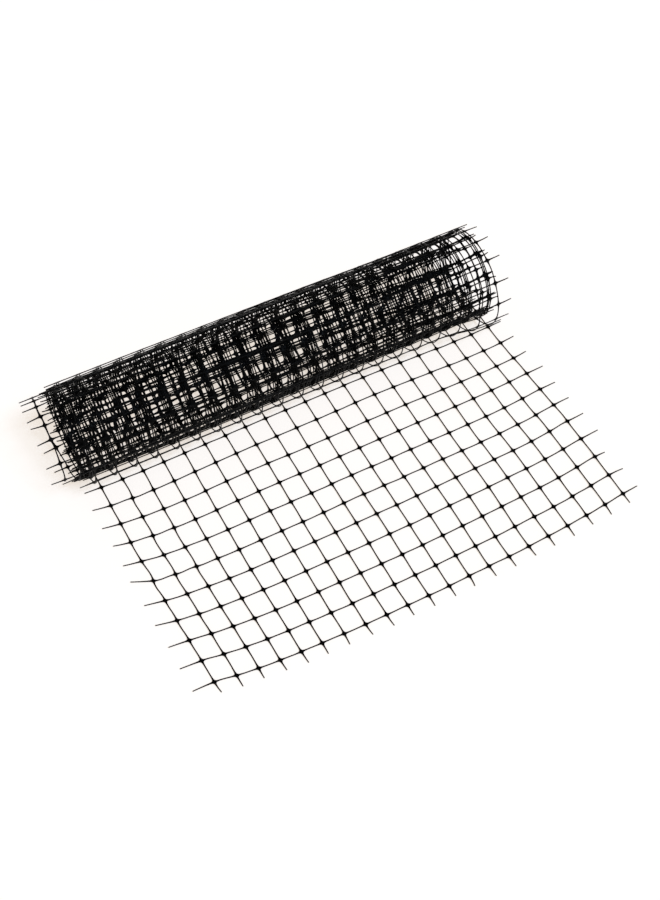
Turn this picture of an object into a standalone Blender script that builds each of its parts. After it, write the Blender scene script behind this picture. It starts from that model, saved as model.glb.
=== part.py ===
"""A roll of black plastic mesh guard for a deck railing, lying on its side with its first half metre unrolled.

The net is one length of extruded square mesh. Its loose end lies flat on the floor towards -Y, and the
rest is wound into a hollow roll whose axis runs along X. From the floor the net goes back (+Y) and up the
rear, over the top and down the front. Each turn inside the last creeps towards -X, so the left end stands
out like a cone and the right end is dished.
Metres, +Z up. The frame's origin is the middle of the whole object's base.
"""

import math

import bmesh
import bpy

# The mesh of the net
COLUMN_PITCH = 0.0411  # between the strands that run along the net's length
ROW_PITCH = 0.0454  # between the strands that run across it
COLUMNS = 20  # cells across the width
LOOSE_ROWS = 11  # cells along the loose end, up to the roll's flat spot
STRAND_WIDTH = 0.0024
SHEET_THICKNESS = 0.002
KNOT_FILLET = 0.0042  # how far the web in a cell's corner reaches along each strand
LEFT_STUB = 0.86 * COLUMN_PITCH  # cut strand ends past the last strand
RIGHT_STUB = 0.78 * COLUMN_PITCH
FRONT_STUB = 0.54 * COLUMN_PITCH

# How the loose end lies: its front edge bows forward and one corner leans in
FRONT_BOW = 0.0185
BOW_ROWS = 9.5  # rows over which the bow dies out
BOW_FULLNESS = 0.35  # how much of the bow the second and third rows still keep
BOW_FLATNESS = 2.6  # the power that makes the bow flat in the middle and steep at the corners
CORNER_LEAN = 0.0152
LEAN_COLUMNS = 5.0
LEAN_ROWS = 6.7
DRAW_IN = 0.0082  # the right edge is drawn in where it nears the roll
DRAW_COLUMNS = 5.0
DRAW_POWER = 1.5
DRAW_FIRST_ROW = 4.0
DRAW_ROWS = 6.0

# The roll
CONTACT_Y = 12.42 * COLUMN_PITCH  # from the first row to the line where the net leaves the floor
OUTER_RADIUS = 2.325 * COLUMN_PITCH  # of the net's mid-surface in the loose outer turn
SECOND_RADIUS = 2.15 * COLUMN_PITCH
TURN_STEP = 0.09 * COLUMN_PITCH  # how much each further turn is smaller
TURNS = 6
LAYER_RISE = 0.0026  # how much each turn lies above the last at the bottom
SETTLE = 0.0005  # the roll's own weight flattens its lowest strip by this much
BACK_SET = 0.11 * COLUMN_PITCH  # the inner turns sit this much further back
TELESCOPE = 1.25 * COLUMN_PITCH  # how far the innermost turns creep to the left
TELESCOPE_TURNS = 1.6
TIGHTENS_FROM = 0.75  # of a turn: where the outer turn starts to close on the second
TIGHTENS_OVER = 0.35
SECOND_TURN = 2.0  # the turn whose edge shows as the ring inside the outer turn
LAST_TURN = TURNS - 0.5  # the turn whose edge rings the bore
GROOVE_DEPTH = 0.03  # the open gap under the outer turn's edge, before the wound wall fills it
RIDGE_HEIGHT = 0.0012
RIDGE_FOOT = 0.002  # half of a ridge's width at its foot
RIDGES_FADE_FROM = 0.9  # of the outer turn: the ridges sink away where the roll comes down on the loose end
RIDGES_FADE_OVER = 0.06
GAP = 0.0003  # between the roll and the loose end
WALK_STEP = math.radians(0.25)  # of the walk along the outer turn that finds its rows

FIRST_ROW = LOOSE_ROWS + 1  # the first row that is on the roll
HALF = STRAND_WIDTH / 2
HALF_SHEET = SHEET_THICKNESS / 2
LIP_Y = LOOSE_ROWS * ROW_PITCH + HALF + GAP
BLACK = (0.011, 0.011, 0.012, 1.0)


def smooth(x):
    """0 before 0, 1 after 1, and a smooth rise between."""
    x = min(max(x, 0.0), 1.0)
    return x * x * (3 - 2 * x)


def in_plan(column, row):
    """Where a point of the loose net lies on the floor; column and row count cells and may be fractions."""
    across = (column - COLUMNS / 2) / (COLUMNS / 2)
    near = max(1 - row / BOW_ROWS, 0.0)
    swell = near * (1 + BOW_FULLNESS - BOW_FULLNESS * near)
    bow = FRONT_BOW * (1 - min(abs(across), 1.0) ** BOW_FLATNESS) * swell
    lean = CORNER_LEAN * max(1 - max(column, 0) / LEAN_COLUMNS, 0) * max(1 - row / LEAN_ROWS, 0)
    right = max((column - COLUMNS + DRAW_COLUMNS) / DRAW_COLUMNS, 0) ** DRAW_POWER
    draw = DRAW_IN * right * smooth((row - DRAW_FIRST_ROW) / DRAW_ROWS)
    return column * COLUMN_PITCH + lean - draw, row * ROW_PITCH - bow


def cell_outline(column, row):
    """The eight-sided opening of one cell: straight strands with a small web in each corner."""
    side, end = HALF / COLUMN_PITCH, HALF / ROW_PITCH
    cut_x, cut_y = KNOT_FILLET / COLUMN_PITCH, KNOT_FILLET / ROW_PITCH
    low_x, high_x = column + side, column + 1 - side
    low_y, high_y = row + end, row + 1 - end
    corners = (
        (low_x + cut_x, low_y),
        (high_x - cut_x, low_y),
        (high_x, low_y + cut_y),
        (high_x, high_y - cut_y),
        (high_x - cut_x, high_y),
        (low_x + cut_x, high_y),
        (low_x, high_y - cut_y),
        (low_x, low_y + cut_y),
    )
    return [in_plan(x, y) for x, y in corners]


def net_outline():
    """The edge of the loose end, anticlockwise, with the cut strand ends of its front and two sides."""
    side, end = HALF / COLUMN_PITCH, HALF / ROW_PITCH
    front = FRONT_STUB / ROW_PITCH
    points = []
    for column in range(COLUMNS + 1):
        near, far = column - side, column + side
        points += [(near, -end), (near, -front), (far, -front), (far, -end)]
    edge, tip = COLUMNS + side, COLUMNS + RIGHT_STUB / COLUMN_PITCH
    for row in range(LOOSE_ROWS + 1):
        points += [(edge, row - end), (tip, row - end), (tip, row + end), (edge, row + end)]
    edge, tip = -side, -LEFT_STUB / COLUMN_PITCH
    for row in range(LOOSE_ROWS, -1, -1):
        points += [(edge, row + end), (tip, row + end), (tip, row - end), (edge, row - end)]
    kept = []
    for point in points:
        if not kept or math.dist(point, kept[-1]) > 1e-6:
            kept.append(point)
    if math.dist(kept[0], kept[-1]) < 1e-6:
        kept.pop()
    return [in_plan(x, y) for x, y in kept]


def mesh_from_curve(curve_object):
    """The filled curve as a closed mesh of its own, with the curve removed."""
    graph = bpy.context.evaluated_depsgraph_get()
    mesh = bpy.data.meshes.new_from_object(curve_object.evaluated_get(graph))
    shape = bmesh.new()
    shape.from_mesh(mesh)
    bmesh.ops.remove_doubles(shape, verts=shape.verts, dist=1e-5)
    bmesh.ops.recalc_face_normals(shape, faces=shape.faces)
    shape.to_mesh(mesh)
    shape.free()
    curve = curve_object.data
    bpy.data.objects.remove(curve_object)
    bpy.data.curves.remove(curve)
    return mesh


def plastic(name, roughness):
    material = bpy.data.materials.new(name)
    material.use_nodes = True
    shader = material.node_tree.nodes["Principled BSDF"]
    shader.inputs["Base Color"].default_value = BLACK
    shader.inputs["Roughness"].default_value = roughness
    shader.inputs["Metallic"].default_value = 0.0
    return material


def loose_end(collection, origin):
    """The flat net: every cell at its true pitch, cut through a sheet of the strands' thickness."""
    curve = bpy.data.curves.new("loose_end_outline", "CURVE")
    curve.dimensions = "2D"
    curve.fill_mode = "BOTH"
    curve.extrude = HALF_SHEET
    loops = [net_outline()]
    loops += [cell_outline(column, row) for row in range(LOOSE_ROWS) for column in range(COLUMNS)]
    for loop in loops:
        spline = curve.splines.new("POLY")
        spline.points.add(len(loop) - 1)
        for point, (x, y) in zip(spline.points, loop):
            point.co = (x, y, 0, 1)
        spline.use_cyclic_u = True
    drawn = bpy.data.objects.new("loose_end_outline", curve)
    collection.objects.link(drawn)
    bpy.context.view_layer.update()
    piece = bpy.data.objects.new("loose_end", mesh_from_curve(drawn))
    piece.data.name = "loose_end"
    piece.data.materials.append(plastic("loose_end_plastic", 0.42))
    piece.location.z = HALF_SHEET
    piece.parent = origin
    collection.objects.link(piece)
    return piece


def turn_radius(turn):
    """The mid-surface's radius after so many turns, counted from the contact line."""
    loose = OUTER_RADIUS - SECOND_RADIUS
    wound = TURN_STEP * max(turn - 1, 0)
    return OUTER_RADIUS - loose * smooth((turn - TIGHTENS_FROM) / TIGHTENS_OVER) - wound


def creep(turn):
    """How far the net has crept along the roll, towards -X."""
    return -TELESCOPE * (1 - math.exp(-max(turn, 0) / TELESCOPE_TURNS))


def on_ring(angle, radius, layers, offset, turn):
    """A point of the section at an angle from straight down: y from the first row, z from the floor."""
    middle_y = CONTACT_Y + BACK_SET * smooth(turn)
    middle_z = radius + LAYER_RISE * layers + HALF_SHEET - SETTLE
    reach = radius + offset
    return middle_y + reach * math.sin(angle), max(middle_z - reach * math.cos(angle), 0.0)


def row_angles():
    """The angle of each row of knots in the outer turn, by walking along its mid-surface."""
    angle, walked = 0.0, CONTACT_Y
    row, found = FIRST_ROW, []
    while angle < math.tau:
        radius = turn_radius(angle / math.tau)
        if walked >= row * ROW_PITCH:
            found.append(angle)
            row += 1
        walked += radius * WALK_STEP
        angle += WALK_STEP
    return found


def section_lines():
    """The angles at which the roll's section has points, each with whether it is the crest of a row."""
    first = -math.asin((CONTACT_Y - LIP_Y) / (OUTER_RADIUS + HALF_SHEET + RIDGE_HEIGHT))
    last = math.tau + first
    lines = [(first, False), (-first, False)]
    for angle in row_angles():
        foot = RIDGE_FOOT / turn_radius(angle / math.tau)
        if angle + foot < last:
            lines += [(angle - foot, False), (angle, True), (angle + foot, False)]
    lines.append((last, False))
    return lines


def skin_lines():
    """The places along X at which the outer skin has points, each with whether it is raised as a strand."""
    lines = [(-HALF, True), (RIDGE_FOOT, False)]
    for column in range(1, COLUMNS):
        x = column * COLUMN_PITCH
        lines += [(x - RIDGE_FOOT, False), (x, True), (x + RIDGE_FOOT, False)]
    right = COLUMNS * COLUMN_PITCH
    return lines + [(right - RIDGE_FOOT, False), (right + HALF, True)]


def end_rings(edge, inwards):
    """The loops of one end face from the outer skin to the bore: (turn, x, offset from the mid-surface)."""
    second = edge + creep(SECOND_TURN)
    last = edge + creep(LAST_TURN)
    groove = inwards * GROOVE_DEPTH
    return [
        ("outer", edge, -HALF_SHEET),
        ("outer", edge + groove, -HALF_SHEET),
        ("second", second + groove, HALF_SHEET),
        ("second", second, HALF_SHEET),
        ("second", second, -HALF_SHEET),
        ("last", last, HALF_SHEET),
        ("last", last, -HALF_SHEET),
    ]


def roll_point(kind, x, offset, angle):
    """A point of the roll: the outer turn closes in as a spiral, and the turns inside it are plain rings."""
    if kind == "outer":
        turn = angle / math.tau
        y, z = on_ring(angle, turn_radius(turn), max(turn, 0), offset, turn)
        return x + creep(turn), y, z
    turn = SECOND_TURN if kind == "second" else LAST_TURN
    y, z = on_ring(angle, turn_radius(turn - 0.5), turn, offset, turn)
    return x, y, z


def ridge_height(angle):
    """How far a strand stands out of the skin at this angle."""
    return RIDGE_HEIGHT * (1 - smooth((angle / math.tau - RIDGES_FADE_FROM) / RIDGES_FADE_OVER))


def grow_stubs(shape, faces, loops, crests):
    """Draws the edge of each turn out along X at every row, as the cut ends of the cross strands."""
    for a, (kind, x, _, _) in enumerate(loops):
        next_kind, next_x, _, _ = loops[(a + 1) % len(loops)]
        if (kind, x) != (next_kind, next_x):
            continue
        length = RIGHT_STUB if x > COLUMNS * COLUMN_PITCH / 2 else -LEFT_STUB
        for crest in crests:
            picked = [faces[a, crest - 1], faces[a, crest]]
            grown = bmesh.ops.extrude_face_region(shape, geom=picked)
            moved = [v for v in grown["geom"] if isinstance(v, bmesh.types.BMVert)]
            bmesh.ops.translate(shape, verts=moved, vec=(length, 0, 0))
            bmesh.ops.delete(shape, geom=picked, context="FACES_ONLY")


def roll(collection, origin):
    """The wound net as one hollow solid: loops around its axis, joined outside and back through the bore."""
    right = COLUMNS * COLUMN_PITCH + HALF
    angles = section_lines()
    loops = [("outer", x, HALF_SHEET, raised) for x, raised in skin_lines()]
    loops += [(kind, x, offset, False) for kind, x, offset in end_rings(right, -1)]
    loops += [(kind, x, offset, False) for kind, x, offset in reversed(end_rings(-HALF, 1))]

    shape = bmesh.new()
    rings = []
    for kind, x, offset, raised in loops:
        on_skin = kind == "outer" and offset > 0
        ring = []
        for angle, crest in angles:
            ridge = ridge_height(angle) if on_skin and (raised or crest) else 0.0
            ring.append(shape.verts.new(roll_point(kind, x, offset + ridge, angle)))
        rings.append(ring)
    faces = {}
    for a, ring in enumerate(rings):
        following = rings[(a + 1) % len(rings)]
        for b in range(len(ring)):
            c = (b + 1) % len(ring)
            faces[a, b] = shape.faces.new((ring[b], ring[c], following[c], following[b]))
    grow_stubs(shape, faces, loops, [b for b, (_, crest) in enumerate(angles) if crest])
    bmesh.ops.recalc_face_normals(shape, faces=shape.faces)
    mesh = bpy.data.meshes.new("roll")
    shape.to_mesh(mesh)
    shape.free()
    mesh.materials.append(plastic("roll_plastic", 0.48))
    piece = bpy.data.objects.new("roll", mesh)
    piece.parent = origin
    collection.objects.link(piece)
    return piece


def centre_on_base(origin, pieces):
    """Moves the shared empty so that the whole object's base is centred on the world's origin."""
    corners = [piece.matrix_basis @ v.co for piece in pieces for v in piece.data.vertices]
    for axis in (0, 1):
        values = [corner[axis] for corner in corners]
        origin.location[axis] = -(min(values) + max(values)) / 2


def build():
    for thing in list(bpy.data.objects):
        bpy.data.objects.remove(thing)
    collection = bpy.data.collections.new("deck_railing_guard_roll")
    bpy.context.scene.collection.children.link(collection)
    origin = bpy.data.objects.new("net_frame", None)
    collection.objects.link(origin)
    pieces = [loose_end(collection, origin), roll(collection, origin)]
    centre_on_base(origin, pieces)


build()
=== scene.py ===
"""A roll of black plastic guard net for a deck railing, with its first half metre laid out flat.

The net is one length of extruded plastic. It is made here as meshes that meet strand to strand: the loose
end on the floor, and then each turn of the roll. Metres, +Z up, in the frame of the part.
"""

import math
from bisect import bisect
from collections import namedtuple

import bmesh
import bpy
from mathutils import Matrix, Quaternion, Vector, noise


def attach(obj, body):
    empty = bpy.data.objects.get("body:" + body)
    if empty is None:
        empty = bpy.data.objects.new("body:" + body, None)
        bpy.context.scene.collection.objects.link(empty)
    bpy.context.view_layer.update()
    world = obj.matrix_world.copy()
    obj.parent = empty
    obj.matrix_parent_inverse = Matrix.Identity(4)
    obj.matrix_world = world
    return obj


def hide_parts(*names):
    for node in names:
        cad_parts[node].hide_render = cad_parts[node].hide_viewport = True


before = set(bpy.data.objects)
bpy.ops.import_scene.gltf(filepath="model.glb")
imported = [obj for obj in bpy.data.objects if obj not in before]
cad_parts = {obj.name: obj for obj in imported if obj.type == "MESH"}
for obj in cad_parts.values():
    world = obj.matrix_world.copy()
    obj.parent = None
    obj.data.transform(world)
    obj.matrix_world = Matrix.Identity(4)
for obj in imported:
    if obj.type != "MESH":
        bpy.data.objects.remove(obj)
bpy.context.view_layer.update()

# The loose end, cut square across the net and lying on the floor in soft ripples. A die extrudes the net as
# one sheet of crossing black strands, which is stretched while it is warm: the knots stay thick, and the
# strands between them draw out thinner. They are cut off a little past the last knots.
COLUMN_PITCH = 0.0411  # between the strands that run along the net
ROW_PITCH = 0.0454  # between the strands that cross it
COLUMNS = 20  # cells across the net
LAST_LOOSE_ROW = 11  # rows are counted from the free edge, which is row 0

KNOT_REACH = 0.0027  # from a knot's middle to the corners of its web
KNOT_THICKNESS = 0.0026
ARM_REACH = 0.0052  # from a knot's middle to where the strand has its own width
ARM_WIDTH, ARM_THICKNESS = 0.0030, 0.0023
DRAWN_WIDTH, DRAWN_THICKNESS = 0.0025, 0.0020  # at the middle of a strand
TIP_WIDTH, TIP_THICKNESS = 0.0021, 0.0018  # where a strand was cut off

NET_LEFT, NET_FRONT = -0.38389, -0.28295  # the first knot of the first row in the part's frame
CONTACT = 12.42 * COLUMN_PITCH  # along the net from its first row to where it leaves the floor
FRONT_BOW = 0.0185  # the free edge bows out by this much at its middle
BOW_ROWS = 9.5  # and the rows behind it less and less, up to here
BOW_FULLNESS = 0.35  # how much of the bow the first rows behind the edge keep
BOW_FLATNESS = 2.6  # the bow is flatter at its middle and steeper at its ends than a round one, at 2
CORNER_LEAN = 0.0152  # the left front corner leans in
LEAN_COLUMNS, LEAN_ROWS = 5.0, 6.7
DRAW_IN = 0.0082  # the right edge is drawn in near the roll
DRAW_COLUMNS, DRAW_POWER = 5.0, 1.5
DRAW_FIRST_ROW, DRAW_ROWS = 4.0, 6.0
UNEVENNESS = 0.0005  # how far a knot lies off its place in the pattern
RIPPLE = 0.0012  # how far the net lifts off the floor
RIPPLE_END = 2  # the last rows before the roll, where the ripples die out

Push = namedtuple("Push", "column row columns_wide rows_deep right ahead")
PUSHES = (  # soft places where the net lies off its true grid, in millimetres
    Push(14.5, 0.0, 4.0, 2.3, -4.2, -0.6),
    Push(3.3, 4.3, 2.2, 2.6, -3.2, -2.4),
    Push(11.5, 10.2, 4.5, 3.0, 3.6, 0.8),
    Push(17.2, 5.8, 2.6, 1.4, -3.0, -2.0),
    Push(2.4, 8.2, 2.0, 2.0, -1.0, -3.8),
    Push(0.0, 0.6, 1.3, 2.2, 0.0, 3.8),
    Push(-0.6, 6.0, 0.9, 3.2, 0.5, 5.5),
    Push(18.3, 9.0, 3.0, 2.0, -1.2, -4.8),
    Push(9.0, 1.3, 3.0, 2.0, -1.4, -1.0),
    Push(20.3, 3.8, 1.2, 1.6, 0.8, 2.4),
    Push(14.5, 3.4, 2.5, 1.2, 0.8, 1.2),
)


def smooth(x):
    """A soft step from 0, where x is 0 or less, to 1, where x is 1 or more."""
    x = min(max(x, 0.0), 1.0)
    return x * x * (3 - 2 * x)


def wander(column, row, columns, rows, seed):
    """A smooth unevenness from about -1 to 1 that changes over so many columns and rows.

    Each seed takes another layer of the noise. The two offsets keep the knots off the noise's own grid, where
    it is always nought.
    """
    return 1.6 * noise.noise(Vector((column / columns + 0.37, row / rows + 0.71, 5.3 * seed)))


def from_middle(column):
    """-1 at the net's left edge, 0 at its middle and 1 at its right edge."""
    return (column - COLUMNS / 2) / (COLUMNS / 2)


def drawn_in(column, row):
    """How far the net's right edge has drawn in by this row."""
    edge = max((column - COLUMNS + DRAW_COLUMNS) / DRAW_COLUMNS, 0) ** DRAW_POWER
    return DRAW_IN * edge * smooth((row - DRAW_FIRST_ROW) / DRAW_ROWS)


def on_the_floor(column, row):
    """The middle of the net at a place of the loose end; column and row may be fractions."""
    near = max(1 - row / BOW_ROWS, 0.0)
    bow = FRONT_BOW * (1 - min(abs(from_middle(column)), 1.0) ** BOW_FLATNESS)
    bow *= near * (1 + BOW_FULLNESS * (1 - near))
    lean = CORNER_LEAN * max(1 - max(column, 0) / LEAN_COLUMNS, 0) * max(1 - row / LEAN_ROWS, 0)
    x = column * COLUMN_PITCH + lean - drawn_in(column, row)
    x += UNEVENNESS * wander(column, row, columns=2.3, rows=2.3, seed=1)
    y = row * ROW_PITCH - bow + UNEVENNESS * wander(column, row, columns=2.3, rows=2.3, seed=2)
    for push in PUSHES:
        far = ((column - push.column) / push.columns_wide) ** 2 + ((row - push.row) / push.rows_deep) ** 2
        x += push.right / 1000 * math.exp(-far)
        y += push.ahead / 1000 * math.exp(-far)
    lift = RIPPLE * abs(wander(column, row, columns=3.1, rows=2.7, seed=3))
    lift *= smooth((LAST_LOOSE_ROW - row) / RIPPLE_END)
    return Vector((NET_LEFT + x, NET_FRONT + y, KNOT_THICKNESS / 2 + lift))


KNOT_TWIST = 3  # degrees that a knot turns in the sheet, one way or the other
CURL_TWIST, CURL_LEAN = 5, -3  # more degrees where the left edge has curled: either way, and all one way
CURL_COLUMN, CURL_COLUMNS = 3.5, 3  # the curl begins left of this column, and is full so many columns on
CURL_ROW, CURL_ROWS = 1.5, 2  # it begins behind this row, and is full so many rows on


def knot_twist(column, row):
    """How far a knot has turned in the sheet, in degrees."""
    curl = smooth((CURL_COLUMN - column) / CURL_COLUMNS) * smooth((row - CURL_ROW) / CURL_ROWS)
    either_way = (KNOT_TWIST + CURL_TWIST * curl) * wander(column, row, columns=1.3, rows=1.3, seed=7)
    return either_way + CURL_LEAN * curl


Cross = namedtuple("Cross", "place right ahead up")
NEARBY = 0.1  # of a cell, to see which way the net runs at a knot


def cross_at(column, row, lies_at):
    """A knot: its middle, and the ways its arms point, a little twisted in the sheet."""
    right = lies_at(column + NEARBY, row) - lies_at(column - NEARBY, row)
    ahead = lies_at(column, row + NEARBY) - lies_at(column, row - NEARBY)
    up = right.cross(ahead).normalized()
    twist = Quaternion(up, math.radians(knot_twist(column, row)))
    return Cross(lies_at(column, row), twist @ right.normalized(), twist @ ahead.normalized(), up)


crosses = {}


def lay_rows(first, last, lies_at):
    """Places the knots of the rows from first to last where the net lies."""
    for row in range(first, last + 1):
        for column in range(COLUMNS + 1):
            crosses[column, row] = cross_at(column, row, lies_at)


lay_rows(0, LAST_LOOSE_ROW, on_the_floor)

ARMS = {"ahead": (0, 1), "back": (0, -1), "right": (1, 0), "left": (-1, 0)}
Shorter = namedtuple("Shorter", "by from_row over_rows")
FRONT_STUB = 0.54  # how far the cut strands reach past their knots, in column pitches
LEFT_STUB = 0.93
LEFT_SHORTER = (Shorter(0.15, 4.5, 2), Shorter(0.16, 10, 3))  # where the left ones get shorter
RIGHT_STUBS = {0: 0.78, 1: 0.74, 2: 0.51, 3: 0.96, 8: 0.72, 9: 0.72, 10: 0.72}  # by row
RIGHT_STUB, ROLLED_RIGHT_STUB = 0.86, 0.67  # of the other rows on the floor, and of the outer turn
CLOSE_CUT = 0.4  # inside the roll
CLOSE_CUT_FROM, CLOSE_CUT_TO = 26, 83  # the rows with it; at the right edge it has no end
STUB_BEND = 0.0022  # how far a cut end stands to one side
STUB_UNEVENNESS = 0.07  # of its length


def stub_length(row, side):
    """How far a cross strand reaches past its last knot."""
    if side == "right" and row < CLOSE_CUT_FROM:
        usual = RIGHT_STUB if row < LAST_LOOSE_ROW else ROLLED_RIGHT_STUB
        return COLUMN_PITCH * RIGHT_STUBS.get(row, usual)
    if side == "right" or CLOSE_CUT_FROM <= row < CLOSE_CUT_TO:
        return COLUMN_PITCH * CLOSE_CUT
    shorter = sum(cut.by * smooth((row - cut.from_row) / cut.over_rows) for cut in LEFT_SHORTER)
    return COLUMN_PITCH * (LEFT_STUB - shorter)


def way(cross, arm):
    """The way that an arm of a knot points."""
    across, along = ARMS[arm]
    return cross.right * across + cross.ahead * along


def ring(shape, middle, forward, up, width, thickness):
    """Four corners of a strand's section: left top, right top, right bottom, left bottom."""
    left = up.cross(forward).normalized() * (width / 2)
    over = forward.cross(left).normalized() * (thickness / 2)
    places = (middle + left + over, middle - left + over, middle - left - over, middle + left - over)
    return [shape.verts.new(place) for place in places]


def skin(shape, near, far, start, end):
    """The four faces between two sections, with the way along and round the strand as their grain."""
    grain = shape.loops.layers.uv.verify()
    for a in range(4):
        b = (a + 1) % 4
        face = shape.faces.new((near[a], near[b], far[b], far[a]))
        spots = ((start, a), (start, a + 1), (end, a + 1), (end, a))
        for loop, (along, round_it) in zip(face.loops, spots):
            loop[grain].uv = (along, round_it * DRAWN_WIDTH)


def cut_off(shape, section, facing):
    """A flat cut across a strand, with sharp edges."""
    crease = shape.edges.layers.float.get("crease_edge") or shape.edges.layers.float.new("crease_edge")
    face = shape.faces.new(section if facing else section[::-1])
    for edge in face.edges:
        edge[crease] = 1.0
        edge.smooth = False


def arm_end(shape, cross, arm):
    """The section where an arm of a knot ends and its strand begins."""
    forward = way(cross, arm)
    return ring(shape, cross.place + forward * ARM_REACH, forward, cross.up, ARM_WIDTH, ARM_THICKNESS)


def knot(shape, cross):
    """A knot with its four arms, as a dictionary of their end sections."""
    top, bottom = {}, {}
    for across in (-1, 1):
        for along in (-1, 1):
            corner = cross.place + (cross.right * across + cross.ahead * along) * KNOT_REACH
            top[across, along] = shape.verts.new(corner + cross.up * KNOT_THICKNESS / 2)
            bottom[across, along] = shape.verts.new(corner - cross.up * KNOT_THICKNESS / 2)
    order = ((-1, -1), (1, -1), (1, 1), (-1, 1))
    shape.faces.new([top[at] for at in order])
    shape.faces.new([bottom[at] for at in reversed(order)])
    ends = {}
    for arm, (across, along) in ARMS.items():
        left = (across - along, along + across)
        right = (across + along, along - across)
        root = [top[left], top[right], bottom[right], bottom[left]]
        ends[arm] = arm_end(shape, cross, arm)
        skin(shape, root, ends[arm], KNOT_REACH, ARM_REACH)
    return ends


def strand(shape, near, near_end, far, far_end, arm, back):
    """A strand between two knots' arms, drawn out thin at its middle.

    Its curve is a cubic that leaves each knot the way its arm points, with three sections between its ends.
    """
    start = near.place + way(near, arm) * ARM_REACH
    stop = far.place + way(far, back) * ARM_REACH
    length = (stop - start).length
    leaving, arriving = way(near, arm) * length, -way(far, back) * length
    last, last_along = near_end, 0.0
    for t in (0.25, 0.5, 0.75):
        h = t * t * (3 - 2 * t)
        place = start * (1 - h) + stop * h + leaving * (t * (1 - t) ** 2) - arriving * (t * t * (1 - t))
        forward = (stop - start) * (6 * t * (1 - t))
        forward += leaving * ((1 - t) * (1 - 3 * t)) + arriving * (t * (3 * t - 2))
        thin = 1 - (2 * t - 1) ** 2
        width = ARM_WIDTH + (DRAWN_WIDTH - ARM_WIDTH) * thin
        thickness = ARM_THICKNESS + (DRAWN_THICKNESS - ARM_THICKNESS) * thin
        section = ring(shape, place, forward.normalized(), near.up.lerp(far.up, t), width, thickness)
        skin(shape, last, section, last_along, t * length)
        last, last_along = section, t * length
    a, b, c, d = far_end  # which runs the other way round, as seen from this strand
    skin(shape, last, [b, a, d, c], last_along, length)


def stub(shape, cross, end, arm, reach, column, row):
    """The rest of a strand that was cut off past the last knot, a little bent."""
    forward = way(cross, arm)
    side = cross.up.cross(forward)
    bend = STUB_BEND * wander(column, row, columns=1.1, rows=1.1, seed=8)
    reach *= 1 + STUB_UNEVENNESS * wander(column, row, columns=1.2, rows=1.2, seed=9)
    last, last_along = end, 0.0
    for share, width, thickness in ((0.5, DRAWN_WIDTH, DRAWN_THICKNESS), (1.0, TIP_WIDTH, TIP_THICKNESS)):
        along = ARM_REACH + (reach - ARM_REACH) * share
        place = cross.place + forward * along + side * bend * share * share
        slope = forward + side * bend / reach * 2 * share
        section = ring(shape, place, slope, cross.up, width, thickness)
        skin(shape, last, section, last_along, along)
        last, last_along = section, along
    cut_off(shape, last, True)


def net_piece(name, first, last):
    """The rows of net from first to last, each with the strands that join it to the row before."""
    shape = bmesh.new()
    ends = {}
    for row in range(first, last + 1):
        for column in range(COLUMNS + 1):
            cross = crosses[column, row]
            ends[column, row] = here = knot(shape, cross)
            if column == 0:
                stub(shape, cross, here["left"], "left", stub_length(row, "left"), column, row)
            else:
                before = crosses[column - 1, row]
                start = ends[column - 1, row]["right"]
                strand(shape, before, start, cross, here["left"], "right", "left")
            if column == COLUMNS:
                stub(shape, cross, here["right"], "right", stub_length(row, "right"), column, row)
            if row == 0:
                stub(shape, cross, here["back"], "back", COLUMN_PITCH * FRONT_STUB, column, row)
            else:
                before = crosses[column, row - 1]
                if row > first:
                    start = ends[column, row - 1]["ahead"]
                else:
                    start = arm_end(shape, before, "ahead")
                    cut_off(shape, start, False)
                strand(shape, before, start, cross, here["back"], "ahead", "back")
            if row == last:
                cut_off(shape, here["ahead"], True)
    bmesh.ops.recalc_face_normals(shape, faces=shape.faces)
    mesh = bpy.data.meshes.new(name)
    shape.to_mesh(mesh)
    shape.free()
    mesh.shade_smooth()
    mesh.materials.append(plastic)
    piece = bpy.data.objects.new(name, mesh)
    bpy.context.scene.collection.objects.link(piece)
    rounding = piece.modifiers.new("rounding", "SUBSURF")
    rounding.levels = rounding.render_levels = 1
    return piece


def node(material, kind, name, **values):
    """A node of a material, with values for its properties and its input sockets."""
    made = material.node_tree.nodes.new(kind)
    made.name = name
    for key, value in values.items():
        if hasattr(made, key):
            setattr(made, key, value)
        else:
            made.inputs[key.replace("_", " ")].default_value = value
    return made


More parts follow.
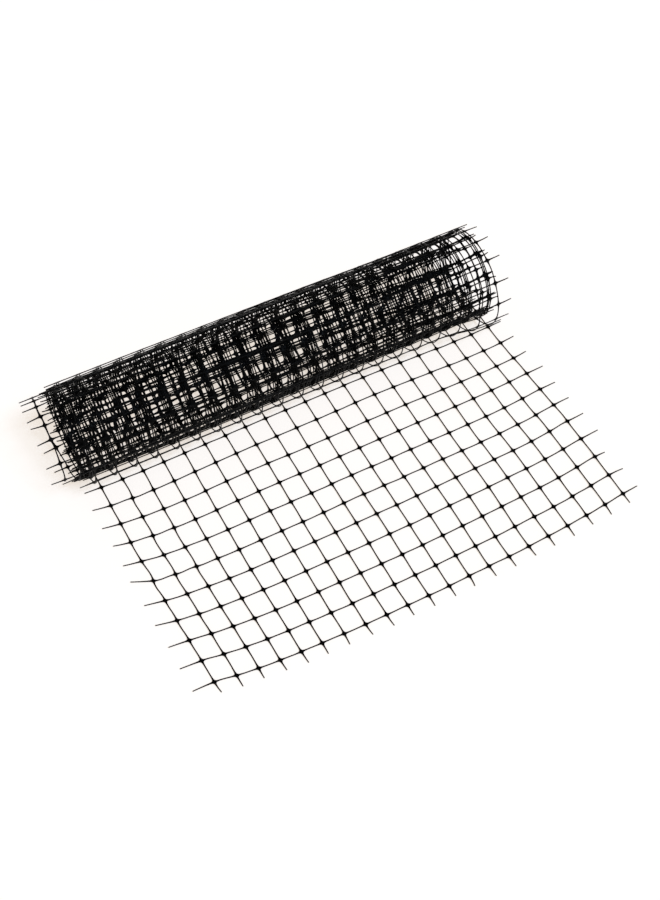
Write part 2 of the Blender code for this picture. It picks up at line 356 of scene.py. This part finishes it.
def extruded_black_plastic():
    """Carbon-black polypropylene with a satin finish.

    Fine lines from the die run along each strand, and it has dull, dusty patches and fine pits.
    """
    material = bpy.data.materials.new("extruded_black_plastic")
    material.use_nodes = True
    link = material.node_tree.links.new
    shader = material.node_tree.nodes["Principled BSDF"]
    shader.inputs["Specular IOR Level"].default_value = 0.06

    grain = node(material, "ShaderNodeUVMap", "grain along the strand", uv_map="UVMap")
    stretch = node(material, "ShaderNodeMapping", "stretched lines", Scale=(60, 5200, 1))
    lines = node(material, "ShaderNodeTexNoise", "die lines", Scale=1.0, Detail=3.0)
    link(grain.outputs["UV"], stretch.inputs["Vector"])
    link(stretch.outputs["Vector"], lines.inputs["Vector"])

    place = node(material, "ShaderNodeTexCoord", "place on the net")
    patches = node(material, "ShaderNodeTexNoise", "dull patches", Scale=26.0, Detail=4.0)
    pits = node(material, "ShaderNodeTexNoise", "fine pits", Scale=1900.0, Detail=2.0)
    link(place.outputs["Object"], patches.inputs["Vector"])
    link(place.outputs["Object"], pits.inputs["Vector"])

    colour = node(material, "ShaderNodeValToRGB", "black to dusty black")
    black, dusty_black = colour.color_ramp.elements
    black.position = 0.35
    black.color = (0.0008, 0.0008, 0.0009, 1)
    dusty_black.position = 0.8
    dusty_black.color = (0.0028, 0.0028, 0.0029, 1)
    link(patches.outputs["Fac"], colour.inputs["Fac"])
    link(colour.outputs["Color"], shader.inputs["Base Color"])

    sheen = node(material, "ShaderNodeMapRange", "satin to dull", To_Min=0.34, To_Max=0.56)
    link(patches.outputs["Fac"], sheen.inputs["Value"])
    link(sheen.outputs["Result"], shader.inputs["Roughness"])

    drawn = node(material, "ShaderNodeBump", "drawn lines", Strength=0.35, Distance=0.0001)
    pitted = node(material, "ShaderNodeBump", "pitted", Strength=0.15, Distance=0.00005)
    link(lines.outputs["Fac"], drawn.inputs["Height"])
    link(pits.outputs["Fac"], pitted.inputs["Height"])
    link(drawn.outputs["Normal"], pitted.inputs["Normal"])
    link(pitted.outputs["Normal"], shader.inputs["Normal"])
    return material


plastic = extruded_black_plastic()
loose_end = net_piece("net_loose_end", 0, LAST_LOOSE_ROW)
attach(loose_end, "root")
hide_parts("loose_end")

# The roll, which is the rest of the same net, wound by hand on nothing. From the floor it goes up the back,
# over the top and down the front. The outer turn has sprung loose, and each turn inside it has crept further
# left, so that the left end stands out and the right end is dished.
TURNS = 6.85
OUTER_RADIUS = 0.0956
OUTER_TAPER = 0.0019  # the loose outer turn is this much wider at its left end, and narrower at its right
CLOSES_FROM, CLOSES_BY = 0.6, 1.05  # of a turn, where the loose outer turn closes on the second
FLARE_FROM, FLARE_COLUMNS = 0.85, 3.0  # the last columns at its right edge stay open until here
BACK_SWING, FRONT_SWING = 0.006, -0.0045  # the loose outer turn sags out at the back and at the front
FRONT_FROM, FRONT_TURNS = 0.2, 0.4  # of a turn, where the front's sag begins, and how soon it is full
RIGHT_SWING = -0.004  # it sags further at the right half of the front
RIGHT_FROM, RIGHT_COLUMNS = 12, 4
OUTER_RISE = 0.0023  # how much higher its end lies than its start
INNER_BACK = 0.0140  # where the middle of the turns inside it lies, behind the contact line
INNER_BACK_STEP = 0.0003  # and how much further back for each turn
INNER_HEIGHT = 0.0926
INNER_TAPER = 0.025  # their right ends are tighter and lower, by this share
TAPER_FROM, TAPER_COLUMNS = 8, 12

Turn = namedtuple("Turn", "radius creep_below creep_above bow skew")
# Of each turn inside the outer one: its radius in millimetres, how far left it has crept at the floor and on
# top, and how its rows are bowed and skewed, all three in cells.
INNER_TURNS = (
    Turn(89.4, 0.30, 0.20, 0.2, 0.1),
    Turn(88.0, 0.35, 0.25, 0.2, 0.0),
    Turn(86.0, 0.45, 0.35, 0.4, 0.0),
    Turn(84.2, 0.40, 0.65, 0.4, 0.2),
    Turn(83.8, 0.60, 0.60, -0.1, -0.1),
    Turn(83.6, 0.90, 1.45, 0.3, 0.1),
    Turn(82.0, 1.45, 1.45, 0.0, 0.0),
)
RADII = [turn.radius / 1000 for turn in INNER_TURNS]
BOWS = [turn.bow for turn in INNER_TURNS]
SKEWS = [turn.skew for turn in INNER_TURNS]
CREEPS = [creep for turn in INNER_TURNS for creep in (turn.creep_below, turn.creep_above)]


def between(values, place):
    """A value from a list at a place that may be a fraction, straight between two of them."""
    place = min(max(place, 0.0), len(values) - 1)
    step = min(int(place), len(values) - 2)
    return values[step] + (values[step + 1] - values[step]) * (place - step)


def wound(turn, column=COLUMNS / 2, raised=0.0):
    """A place after so many turns from the contact line: how far behind the first row, and how high."""
    flare = smooth((column - COLUMNS + FLARE_COLUMNS) / FLARE_COLUMNS)
    closes_from = CLOSES_FROM + (FLARE_FROM - CLOSES_FROM) * flare
    closed = smooth((turn - closes_from) / (CLOSES_BY - closes_from))
    tight = 1 - INNER_TAPER * smooth((column - TAPER_FROM) / TAPER_COLUMNS)
    outer_radius = OUTER_RADIUS - OUTER_TAPER * from_middle(column)
    radius = outer_radius + (between(RADII, turn - 1) * tight - outer_radius) * closed
    back = BACK_SWING * math.sin(math.tau * min(turn, 0.5)) ** 2  # most at a quarter turn, none past a half
    front = FRONT_SWING + RIGHT_SWING * smooth((column - RIGHT_FROM) / RIGHT_COLUMNS)
    outer_y = back + front * smooth((turn - FRONT_FROM) / FRONT_TURNS)
    outer_z = radius + OUTER_RISE * turn * smooth(turn) + KNOT_THICKNESS / 2
    middle_y = CONTACT + outer_y + (INNER_BACK + INNER_BACK_STEP * (turn - 1) - outer_y) * closed
    middle_z = outer_z + (INNER_HEIGHT * tight - outer_z) * closed
    angle = turn * math.tau
    return middle_y + (radius + raised) * math.sin(angle), middle_z - (radius + raised) * math.cos(angle)


WALK_STEPS = 360  # a turn, in the walk along the winding that finds the rows
walked = [CONTACT]  # how far along the net each step is, to one turn past its end
for step in range(int(TURNS * WALK_STEPS) + WALK_STEPS):
    walked.append(walked[-1] + math.dist(wound(step / WALK_STEPS), wound((step + 1) / WALK_STEPS)))
LAST_ROW = int(walked[int(TURNS * WALK_STEPS)] / ROW_PITCH)


def turn_at(row):
    """The turns from the contact line to a row of the net, which may be a fraction."""
    after = max(bisect(walked, row * ROW_PITCH), 1)
    share = (row * ROW_PITCH - walked[after - 1]) / (walked[after] - walked[after - 1])
    return (after - 1 + share) / WALK_STEPS


OUTER_CREEP_TURNS = 0.8  # the part of the outer turn that creeps left to where the second turn begins
BELLY = 0.0055  # the columns between the edges hang back to the left
BELLY_TURNS = 0.6
EDGE_COLUMNS = 4  # the columns by each edge where the belly begins
SETTLES_FROM, SETTLES_TURNS = 0.9, 0.3  # where the net takes up the ways of the inner turns, given next
SPREAD = 0.03  # they lie this much closer across, in cells at the edges
SAG = 0.07  # their middle hangs back to the left by this many cells
INNER_EASE = 0.5  # they are drawn in less at the right edge, by this share
WAVE = 0.0008  # in and out of the roll
WAVE_HELD = 0.9  # the share of it that the floor presses flat
SHIFT = 0.0012  # to the left and right
SHIFT_TURNS = 0.5


def creep(turn):
    """How far left the net has crept by this turn, in cells."""
    if turn < 1:
        return CREEPS[0] * smooth(turn / OUTER_CREEP_TURNS)
    return between(CREEPS, (turn - 1) * 2)


def bowed(across):
    """A round bow of depth 1 from the middle to the edges, that leaves a row where it is on the whole."""
    return across**2 - 1 / 3


def on_the_roll(column, row):
    """The middle of the net at a place of the roll, with the small waves of a net wound by hand."""
    across = from_middle(column)
    inner_turn = turn_at(row) - 1
    inner = smooth((turn_at(row) - SETTLES_FROM) / SETTLES_TURNS)
    askew = between(SKEWS, inner_turn) * across + between(BOWS, inner_turn) * bowed(across)
    turn = turn_at(row - askew * inner)

    held = WAVE_HELD * max(math.cos(turn * math.tau), 0) ** 2
    y, z = wound(turn, column, WAVE * (1 - held) * wander(column, row, columns=7, rows=1.7, seed=4))

    cells = column - creep(turn) - (SPREAD * across + SAG * bowed(across)) * inner
    drawn = drawn_in(column, row) * (1 - INNER_EASE * inner)
    inside = smooth((column + 1) / EDGE_COLUMNS) * smooth((COLUMNS - column + 1) / EDGE_COLUMNS)
    x = cells * COLUMN_PITCH - drawn - BELLY * inside * smooth(turn / BELLY_TURNS)
    x += SHIFT * smooth(turn / SHIFT_TURNS) * inside * wander(column, row, columns=3, rows=3, seed=6)
    return Vector((NET_LEFT + x, NET_FRONT + y, z))


lay_rows(LAST_LOOSE_ROW + 1, LAST_ROW, on_the_roll)

first = LAST_LOOSE_ROW + 1
for number in range(1, math.ceil(TURNS) + 1):
    last = first
    while last < LAST_ROW and turn_at(last + 1) < number:
        last += 1
    net_turn = net_piece(f"net_turn_{number}", first, last)
    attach(net_turn, "root")
    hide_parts("roll")
    first = last + 1

# The floor, a wide sheet of plain white paper with a faint tooth, lit from below so that it glows.
# It is the stage, and no part of the net.
FLOOR_REACH = 12  # from its middle to its edges
floor_mesh = bpy.data.meshes.new("floor")
sheet = bmesh.new()
bmesh.ops.create_grid(sheet, x_segments=1, y_segments=1, size=FLOOR_REACH)
sheet.to_mesh(floor_mesh)
sheet.free()
floor = bpy.data.objects.new("floor", floor_mesh)
bpy.context.scene.collection.objects.link(floor)


def glowing_white_paper():
    """White paper with a faint tooth and a warm glow."""
    material = bpy.data.materials.new("white_paper")
    material.use_nodes = True
    link = material.node_tree.links.new
    shader = material.node_tree.nodes["Principled BSDF"]
    shader.inputs["Roughness"].default_value = 0.9
    shader.inputs["Specular IOR Level"].default_value = 0.1
    shader.inputs["Emission Color"].default_value = (1.0, 0.90, 0.79, 1)
    shader.inputs["Emission Strength"].default_value = 0.69
    place = node(material, "ShaderNodeTexCoord", "place on the floor")
    tooth = node(material, "ShaderNodeTexNoise", "paper tooth", Scale=900.0, Detail=3.0)
    tint = node(material, "ShaderNodeValToRGB", "paper tint")
    tint.color_ramp.elements[0].color = (0.87, 0.865, 0.86, 1)
    tint.color_ramp.elements[1].color = (0.90, 0.895, 0.89, 1)
    relief = node(material, "ShaderNodeBump", "paper relief", Strength=0.1, Distance=0.0001)
    link(place.outputs["Object"], tooth.inputs["Vector"])
    link(tooth.outputs["Fac"], tint.inputs["Fac"])
    link(tooth.outputs["Fac"], relief.inputs["Height"])
    link(tint.outputs["Color"], shader.inputs["Base Color"])
    link(relief.outputs["Normal"], shader.inputs["Normal"])
    return material


floor_mesh.materials.append(glowing_white_paper())

# The light of the studio: a wide cool light from the front, and a dim room round a warm, glowing floor.
# Where the roll keeps the cool light off the floor, and inside the roll, the floor looks beige.
world = bpy.data.worlds.new("studio")
world.use_nodes = True
sky = world.node_tree.nodes["Background"]
direction = world.node_tree.nodes.new("ShaderNodeTexCoord")
height = world.node_tree.nodes.new("ShaderNodeSeparateXYZ")
tent = world.node_tree.nodes.new("ShaderNodeValToRGB")
horizon, above = tent.color_ramp.elements
horizon.position = 0.05
horizon.color = (0.97, 0.95, 0.93, 1)
above.position = 0.35
above.color = (0.16, 0.155, 0.15, 1)
shoulder = tent.color_ramp.elements.new(0.14)
shoulder.color = (0.50, 0.49, 0.48, 1)
world.node_tree.links.new(direction.outputs["Generated"], height.inputs["Vector"])
world.node_tree.links.new(height.outputs["Z"], tent.inputs["Fac"])
world.node_tree.links.new(tent.outputs["Color"], sky.inputs["Color"])
bpy.context.scene.world = world

COMES_FROM = Vector((0.26, -0.62, 1.0))
lamp = bpy.data.lights.new("cool_front_light", "SUN")
lamp.color = (0.66, 0.80, 1.0)
lamp.energy = 1.35
lamp.angle = math.radians(18)  # it is wide, for soft shadows
light = bpy.data.objects.new("cool_front_light", lamp)
light.rotation_euler = COMES_FROM.to_track_quat("Z", "Y").to_euler()
bpy.context.scene.collection.objects.link(light)

# The camera, above the net's front left corner and looking down at the roll through a long lens.
# Its place and its three directions are those that fit the knots of the loose end.
LENS, SENSOR = 79.94, 36.0  # millimetres
CAMERA_PLACE = Vector((NET_LEFT - 0.3100, NET_FRONT - 1.0844, 2.1761))
RIGHT = Vector((0.88576, -0.46398, -0.01211))
UP = Vector((0.38118, 0.71231, 0.58933))
AHEAD = Vector((0.26481, 0.52662, -0.80780))
camera_data = bpy.data.cameras.new("camera")
camera_data.sensor_fit = "HORIZONTAL"
camera_data.sensor_width = SENSOR
camera_data.lens = LENS
camera = bpy.data.objects.new("camera", camera_data)
camera.matrix_world = Matrix.Translation(CAMERA_PLACE) @ Matrix((RIGHT, UP, -AHEAD)).transposed().to_4x4()
bpy.context.scene.collection.objects.link(camera)
bpy.context.scene.camera = camera
bpy.context.scene.view_settings.view_transform = "Standard"
